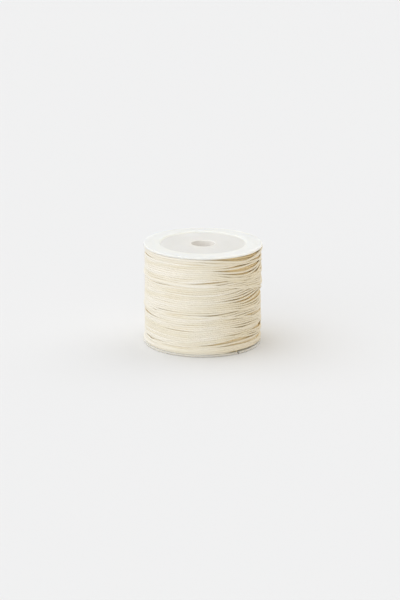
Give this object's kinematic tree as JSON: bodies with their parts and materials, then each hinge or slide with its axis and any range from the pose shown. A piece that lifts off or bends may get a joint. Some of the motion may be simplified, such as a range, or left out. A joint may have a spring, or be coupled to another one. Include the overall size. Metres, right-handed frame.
{
  "type": "waxed thread spool",
  "caption": "Snap-together flanged plastic spool with a centre bore, wound full of round waxed thread whose end is held in a slit in the lower rim.",
  "frame": {"origin": "centre of the lower flange's outer face, on the spool's axis", "axes": "+Z along the spool's axis, from the lower flange to the upper; -Y towards the front, with the rim slit to the right of it"},
  "size_m": [0.06, 0.06, 0.0514],
  "materials": {
    "spool_plastic": "milky translucent moulded plastic, satin, with faint mould marks and light scuffs",
    "waxed_thread": "twisted thread with a soft wax coat, cream, slightly darker between the turns"
  },
  "bodies": {
    "root": {"lower_spool_half": "spool_plastic", "upper_spool_half": "spool_plastic", "thread_winding": "waxed_thread", "thread_inner_end": "waxed_thread", "thread_start_knot": "waxed_thread", "thread_tail": "waxed_thread"}
  },
  "joints": []
}
